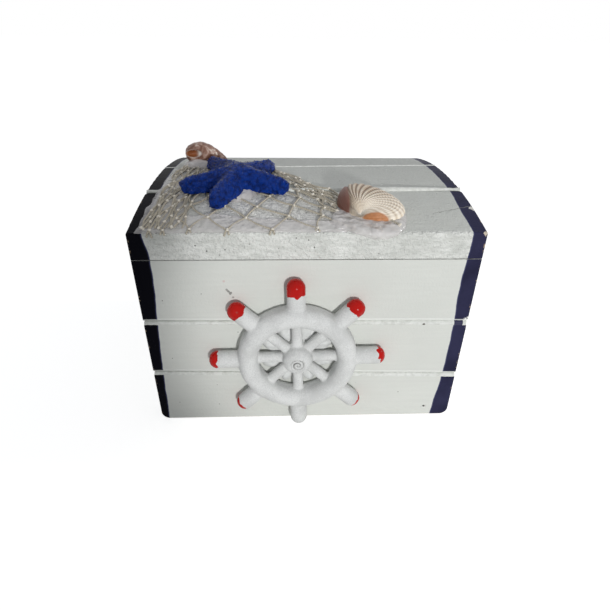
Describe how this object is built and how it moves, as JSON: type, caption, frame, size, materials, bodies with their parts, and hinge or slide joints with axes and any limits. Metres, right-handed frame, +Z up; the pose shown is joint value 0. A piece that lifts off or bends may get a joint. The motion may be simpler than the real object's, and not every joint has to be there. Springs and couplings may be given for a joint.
{
  "type": "treasure chest keepsake box",
  "caption": "Small painted wooden treasure chest with a hinged barrel lid, a ship's wheel on the front and a starfish, shells and fishing net glued on the lid.",
  "frame": {"origin": "middle of the chest's underside, on the surface it stands on", "axes": "+X to the chest's right as seen from the front, the front with the ship's wheel faces -Y, +Z up"},
  "size_m": [0.11, 0.1014, 0.0895],
  "materials": {
    "painted_wood": "off-white brush paint with navy painted bands",
    "bare_wood": "bare pale softwood",
    "cast_resin": "matt white cast resin with red painted tips",
    "blue_resin": "glossy blue paint over a knobbly cast",
    "sea_shell": "natural sea shell",
    "net_twine": "knotted cotton twine",
    "hot_glue": "milky clear hot glue",
    "hinge_brass": "plain stamped brass",
    "nail_steel": "dull steel under paint"
  },
  "bodies": {
    "chest": {"base_board": "bare_wood", "front_plank_lower": "painted_wood", "front_plank_middle": "painted_wood", "front_plank_upper": "painted_wood", "back_plank_lower": "painted_wood", "back_plank_middle": "painted_wood", "back_plank_upper": "painted_wood", "left_plank_lower": "painted_wood", "left_plank_middle": "painted_wood", "left_plank_upper": "painted_wood", "right_plank_lower": "painted_wood", "right_plank_middle": "painted_wood", "right_plank_upper": "painted_wood", "base_brad": "nail_steel", "ships_wheel": "cast_resin", "wheel_glue": "hot_glue", "hinge_body_leaf_left": "hinge_brass", "hinge_body_leaf_right": "hinge_brass", "hinge_pin_left": "hinge_brass", "hinge_pin_right": "hinge_brass", "body_hinge_nails": "hinge_brass"},
    "lid": {"lid_left_arch": "painted_wood", "lid_right_arch": "painted_wood", "lid_front_rail": "painted_wood", "lid_back_rail": "painted_wood", "lid_front_slat": "painted_wood", "lid_crown_slat": "painted_wood", "lid_back_slat": "painted_wood", "fishing_net": "net_twine", "edge_glue": "hot_glue", "starfish_glue": "hot_glue", "shell_glue": "hot_glue", "starfish": "blue_resin", "ribbed_shell": "sea_shell", "snail_shell": "sea_shell", "hinge_lid_leaf_left": "hinge_brass", "hinge_lid_leaf_right": "hinge_brass", "lid_hinge_nails": "hinge_brass"}
  },
  "joints": [
    {"name": "lid_hinge", "type": "hinge", "parent": "chest", "child": "lid", "pos_m": [0, 0.0465, 0.06715], "axis": [-1, 0, 0], "range_deg": [0, 180]}
  ]
}
